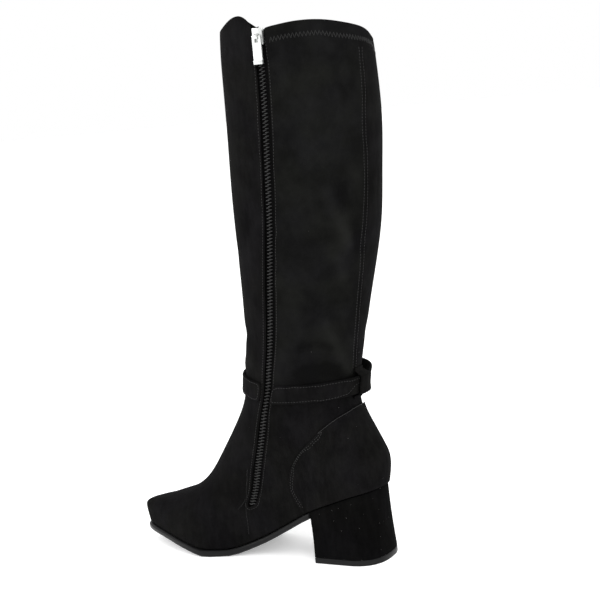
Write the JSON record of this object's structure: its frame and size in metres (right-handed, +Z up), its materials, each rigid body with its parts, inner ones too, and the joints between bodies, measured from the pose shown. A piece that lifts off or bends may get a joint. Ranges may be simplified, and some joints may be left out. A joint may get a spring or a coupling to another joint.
{
  "type": "knee-high boot",
  "caption": "Right knee-high boot with a block heel, an inner side zip and a narrow ankle strap in a keeper, standing empty.",
  "frame": {"origin": "middle of the heel tip's flat face on the floor", "axes": "+X towards the toe, +Y towards the inner side of the foot, where the zip is, +Z up"},
  "size_m": [0.2825, 0.1223, 0.4688],
  "materials": {
    "suede": "matt napped suede",
    "insole": "smooth lining leather",
    "sole_edge": "polished",
    "zip_tape": "woven tape",
    "zip_coil": "satin coil",
    "zip_metal": "satin plated"
  },
  "bodies": {
    "boot": {"upper": "suede", "insole": "insole", "outsole": "sole_edge", "heel_block": "suede", "heel_tip": "sole_edge", "counter": "suede", "ankle_strap": "suede", "strap_keeper": "suede", "zip_tape": "zip_tape", "zip_chain": "zip_coil", "zip_slider": "zip_metal"},
    "pull_tab": {"zip_pull_tab": "zip_metal"}
  },
  "joints": [
    {"name": "tab_swing", "type": "hinge", "parent": "boot", "child": "pull_tab", "pos_m": [0.00705, 0.06094, 0.44915], "axis": [0.9999, -0.0115, 0.0124], "range_deg": [0, 170]}
  ]
}
